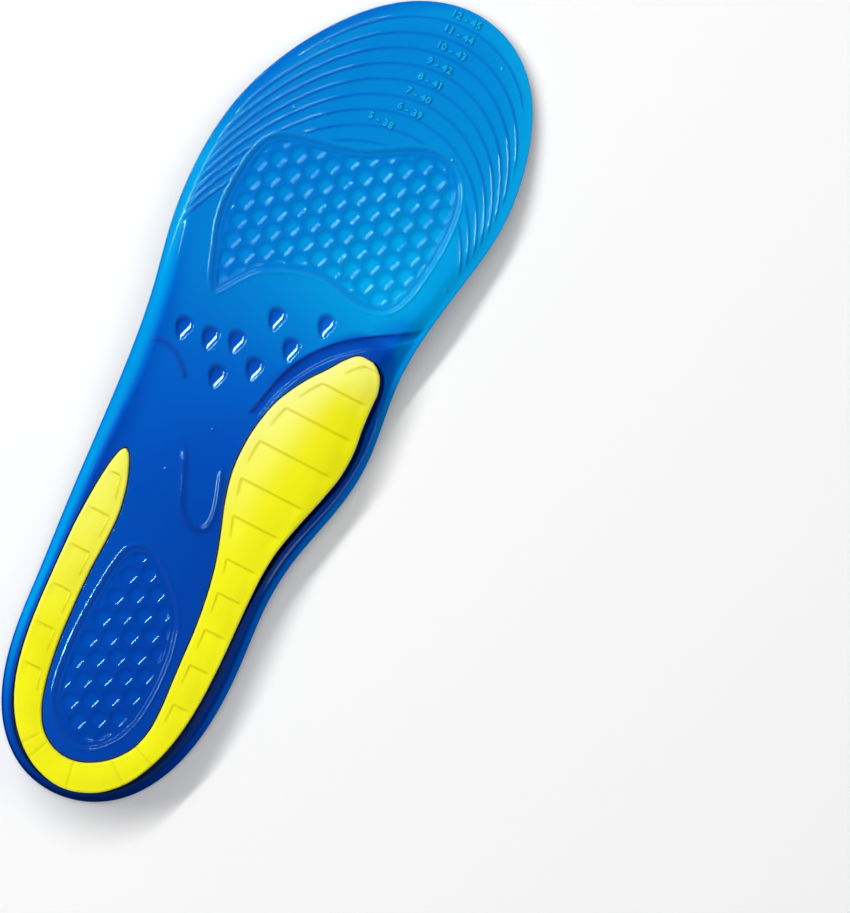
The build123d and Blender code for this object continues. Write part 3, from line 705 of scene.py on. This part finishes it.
supportPiece, across, along, onSide = newGrid(
    "archHeelSupport", archHeelSupport["columns"], archHeelSupport["rows"], archHeelSupport["edgeCrowding"])
shares = np.linspace(0.0, 1.0, len(outerLine))
sides = [np.array([np.interp(along, shares, line[:, axis]) for axis in (0, 1)])
         for line in (outerLine, innerLine)]
x, y = sides[0] * (1.0 - across) + sides[1] * across
edge = np.where(onSide, 0.0, np.maximum(depthInside(supportOutline, x, y), 0.0))
inset = np.maximum(depthInside(outline, x, y), 0.0)
width = np.maximum(np.hypot(*(sides[0] - sides[1])), 1e-3)
fromOuter, fromInner = width * across, width * (1.0 - across)
heights = supportTop(x, y, inset, edge, width)
wall, run = archHeelSupport["windowWall"], archHeelSupport["windowRun"]
# Painted shade along each window's top and inner wall, and along the heel lines
creaseShadeWidth, creaseShade = archHeelSupport["creaseShade"], np.zeros(x.shape)
for arm, part in (("outerWindows", x < 0.0), ("innerWindows", x > 0.0)):
    for top, bottom, outerMargin, innerMargin in archHeelSupport[arm]:
        down, inward = ease((top - y) / wall), ease((fromInner - innerMargin) / wall)
        outward = ease((fromOuter - outerMargin) / run)
        window = down * inward * outward * ease((y - bottom) / (top - bottom))
        heights -= archHeelSupport["windowDepth"] * window * part
        topLine = bump(top - y, creaseShadeWidth) * inward * outward
        sideLine = bump(fromInner - innerMargin, creaseShadeWidth) * down * ease((y - bottom) / 2.0)
        creaseShade = np.maximum(creaseShade, np.maximum(topLine, sideLine) * part)
for points in archHeelSupport["heelLines"]:
    gap = nearLine(np.array(points), x, y, 3.0)[0]
    heights -= archHeelSupport["heelLineDepth"] * bump(gap, archHeelSupport["heelLineWidth"])
    creaseShade = np.maximum(creaseShade, 0.6 * bump(gap, creaseShadeWidth))
writePoints(supportPiece, np.array([x, y, heights]).T * millimetre)
# Painted sheen: the yellow is made paler on the leaf's inner half, towards its top, along the outer arm and
# at every edge
pale = archHeelSupport["paintedSheen"]
leaf = pale["leaf"] * ease((y + 60.0) / 75.0) * (1.0 - ease(1.6 * fromInner / width))
leafTop = pale["leafTop"] * ease((y - 8.0) / 16.0) * (1.0 - 0.7 * fromInner / width)
arm = pale["arm"] * ease((y + 110.0) / 70.0) * (1.0 - 0.3 * ease(fromOuter / width))
paintedSheen = np.where(x > 0.0, np.maximum(leaf, leafTop), arm) + pale["edge"] * bump(edge, pale["edgeWidth"])
setAttribute(supportPiece, "paintedSheen", np.clip(paintedSheen, 0.0, 1.0))
setAttribute(supportPiece, "creaseShade", creaseShade)
closeUp(supportPiece, -archHeelSupport["thickness"] * millimetre)
smoothShade(supportPiece)
finishPiece(supportPiece, supportMaterial, "arch_heel_support")
print("support ready")

# Raised size figures beside the trim ribs: shoe size, dash, longer size
sizeNumerals = {
    "rows": [(2.5, 145.6, "12 - 45"), (2.5, 140.0, "11 - 44"), (2.8, 133.9, "10 - 43"),
             (2.6, 127.6, "9 - 42"), (2.2, 121.4, "8 - 41"), (0.8, 115.4, "7 - 40"),
             (0.6, 109.4, "6 - 39"), (-6.6, 102.0, "5 - 38")],
    "size": 3.3, "spacing": 1.15, "height": 0.6, "bevel": 0.18, "sink": 0.05}
numeralPieces = []
for left, base, words in sizeNumerals["rows"]:
    deselectAll()
    bpy.ops.object.text_add(location=(left * millimetre, base * millimetre, 0.0))
    text = bpy.context.object
    text.data.body = words
    text.data.size = sizeNumerals["size"] * millimetre
    text.data.extrude = sizeNumerals["height"] * millimetre / 2.0
    text.data.bevel_depth = sizeNumerals["bevel"] * millimetre
    text.data.bevel_resolution = 1
    text.data.resolution_u = 3
    text.data.space_character = sizeNumerals["spacing"]
    bpy.ops.object.convert(target="MESH")
    bpy.ops.object.transform_apply(location=True, rotation=True, scale=True)
    numeralPieces.append(bpy.context.object)
deselectAll()
for text in numeralPieces:
    text.select_set(True)
bpy.context.view_layer.objects.active = numeralPieces[0]
bpy.ops.object.join()
numerals = bpy.context.object
numerals.name = "sizeNumerals"
x, y, lift = (readPoints(numerals) / millimetre).T
inset = np.maximum(depthInside(outline, x, y), 0.0)
heights = gelLand(x, y, inset) + lift + sizeNumerals["height"] / 2.0 - sizeNumerals["sink"]
writePoints(numerals, np.array([x, y, heights]).T * millimetre)
# Painted highlight: the figures get a pale blue, far lighter than the gel they stand on, to show as glints
setAttribute(numerals, "gelDepthWithPaintedLight", np.full(len(x), gelTint["numerals"]))
setAttribute(numerals, "gelGloss", np.full(len(x), gelTint["gloss"]))
finishPiece(numerals, gelMaterial, None)
print("numerals ready", len(numerals.data.polygons))

# Floor: matt white paint, pale and plain, a little below the rim
studioFloor = {"size": 30.0, "drop": 0.2, "white": 0.93}
deselectAll()
bpy.ops.mesh.primitive_plane_add(size=studioFloor["size"],
                                 location=(0.0, 0.0, -studioFloor["drop"] * millimetre))
floor = bpy.context.object
floor.name = "floor"
floorWhite = (studioFloor["white"],) * 3 + (1.0,)
floorMaterial = newMaterial("whiteMattFloor", Base_Color=floorWhite, Roughness=1.0, Specular_IOR_Level=0.0)[0]
floor.data.materials.append(floorMaterial)
print("floor ready")

# Light: one long narrow lamp up at the outer toe side, a wide soft light overhead that fills without
# mirroring in the gloss, and a dim room, so that level gel keeps its full colour. The lamp is a pair:
# the one behind only lights, and the one in front only mirrors, for crisp cool streaks on the gel
studio = {
    "lampAway": 1.9, "lampGap": 0.05, "lampTurn": (-0.953, 0.303), "lampRise": 48.0,
    "lampSize": (2.2, 0.09), "lampPower": 29.0, "lampTint": "#FFFFFF",
    "streakPower": 32.0, "streakTint": "#B3FFE1",
    "softHeight": 2.2, "softSize": 5.0, "softPower": 64.0,
    "roomBright": 0.14, "roomDark": 0.04, "roomEdge": (0.3, 0.85)}
rise = math.radians(studio["lampRise"])
turnX, turnY = studio["lampTurn"]
toLamp = (turnX * math.cos(rise), turnY * math.cos(rise), math.sin(rise))
lampTurn = (math.pi / 2.0 - rise, 0.0, math.atan2(toLamp[0], -toLamp[1]))
for power, tint, away, mirrored in (
        (studio["lampPower"], studio["lampTint"], studio["lampAway"] + studio["lampGap"], False),
        (studio["streakPower"], studio["streakTint"], studio["lampAway"], True)):
    bpy.ops.object.light_add(type="AREA", location=[away * part for part in toLamp], rotation=lampTurn)
    lamp = bpy.context.object
    lamp.data.shape = "RECTANGLE"
    lamp.data.size, lamp.data.size_y = studio["lampSize"]
    lamp.data.energy = power
    lamp.data.color = colour(tint)[:3]
    lamp.visible_glossy = mirrored
    lamp.visible_diffuse = not mirrored
bpy.ops.object.light_add(type="AREA", location=(0.0, 0.0, studio["softHeight"]))
softLight = bpy.context.object
softLight.data.size = studio["softSize"]
softLight.data.energy = studio["softPower"]
softLight.visible_glossy = False
softLight.visible_camera = False
room = bpy.data.worlds.new("softRoom")
bpy.context.scene.world = room
room.use_nodes = True
roomTree = room.node_tree
direction = addNode(roomTree, "ShaderNodeTexCoord")
height = addNode(roomTree, "ShaderNodeSeparateXYZ", {"Vector": direction.outputs["Generated"]})
glow = addNode(roomTree, "ShaderNodeMapRange", {
    "Value": height.outputs["Z"], "From Min": studio["roomEdge"][0], "From Max": studio["roomEdge"][1],
    "To Min": studio["roomBright"], "To Max": studio["roomDark"]})
roomTree.links.new(glow.outputs["Result"], roomTree.nodes["Background"].inputs["Strength"])
roomTree.nodes["Background"].inputs["Color"].default_value = (1.0, 1.0, 1.0, 1.0)
print("light ready")

# Camera: straight down from above, turned so that the toe points to the upper right
camera = {
    "place": (0.0635, 0.0089), "height": 5.0, "turn": 27.38, "frameWidth": 0.28713, "sensor": 36.0,
    "reach": 20.0}
bpy.ops.object.camera_add(location=(*camera["place"], camera["height"]),
                          rotation=(0.0, 0.0, math.radians(camera["turn"])))
eye = bpy.context.object
eye.data.sensor_fit = "HORIZONTAL"
eye.data.sensor_width = camera["sensor"]
distance = camera["height"] - insole["landHeight"] * millimetre
eye.data.lens = camera["sensor"] * distance / camera["frameWidth"]
eye.data.clip_end = camera["reach"]
bpy.context.scene.camera = eye
bpy.context.scene.view_settings.view_transform = "Standard"
print("camera ready")
